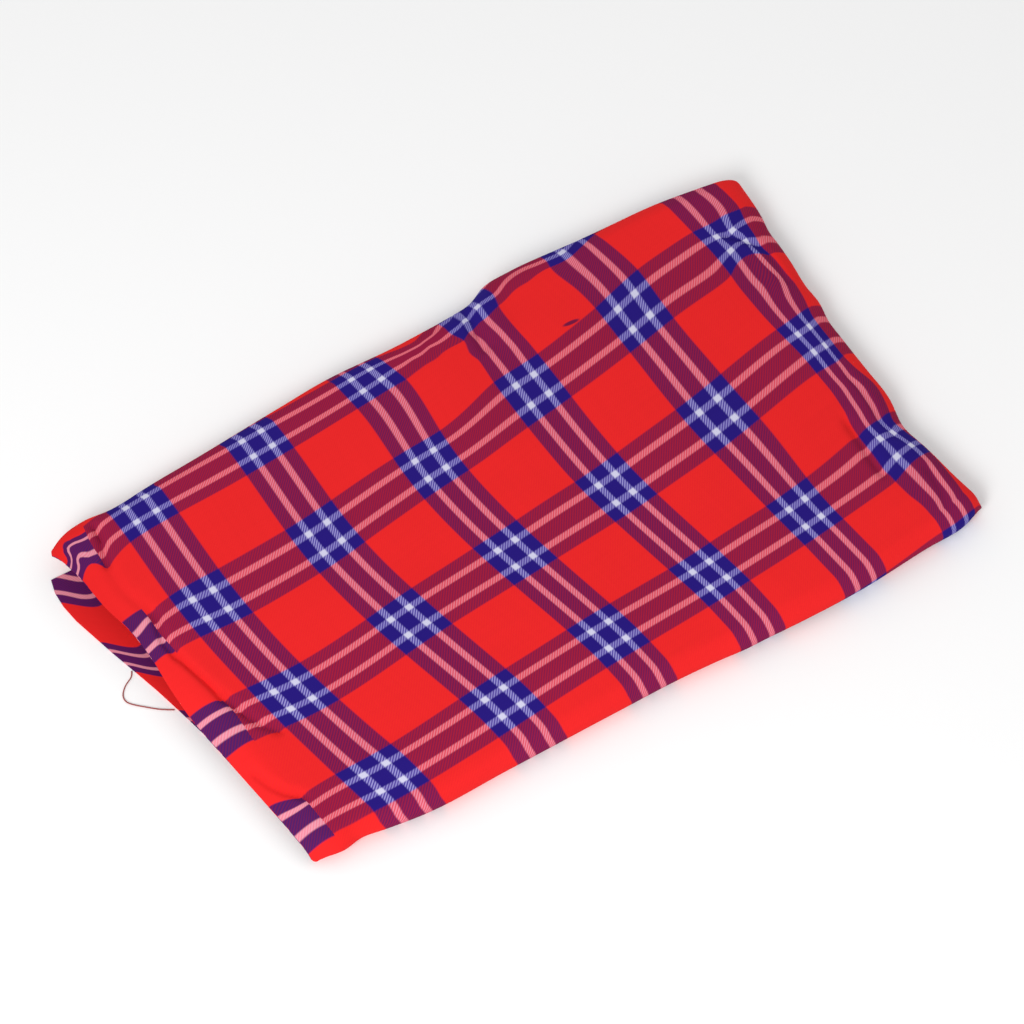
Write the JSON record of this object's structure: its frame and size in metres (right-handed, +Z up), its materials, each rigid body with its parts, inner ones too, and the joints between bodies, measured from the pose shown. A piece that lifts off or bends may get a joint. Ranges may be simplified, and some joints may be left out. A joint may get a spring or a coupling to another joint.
{
  "type": "maasai shuka blanket",
  "caption": "Checked cloth blanket folded into a flat pack with one deep fold along its near edge, to lie on a shelf, bed or table",
  "frame": {"origin": "on the surface that the folded blanket lies on, under the middle of its box", "axes": "+X along the pack, from its open hemmed end to its folded end; +Y from the edge with the deep fold to the far edge; +Z up"},
  "size_m": [0.5142, 0.3193, 0.0244],
  "materials": {
    "red_check_cloth": "matte woven twill in a red, blue and white check",
    "thread_fibre": "matte spun yarn"
  },
  "bodies": {
    "root": {"shuka_blanket": "red_check_cloth", "loose_thread": "thread_fibre"}
  },
  "joints": []
}
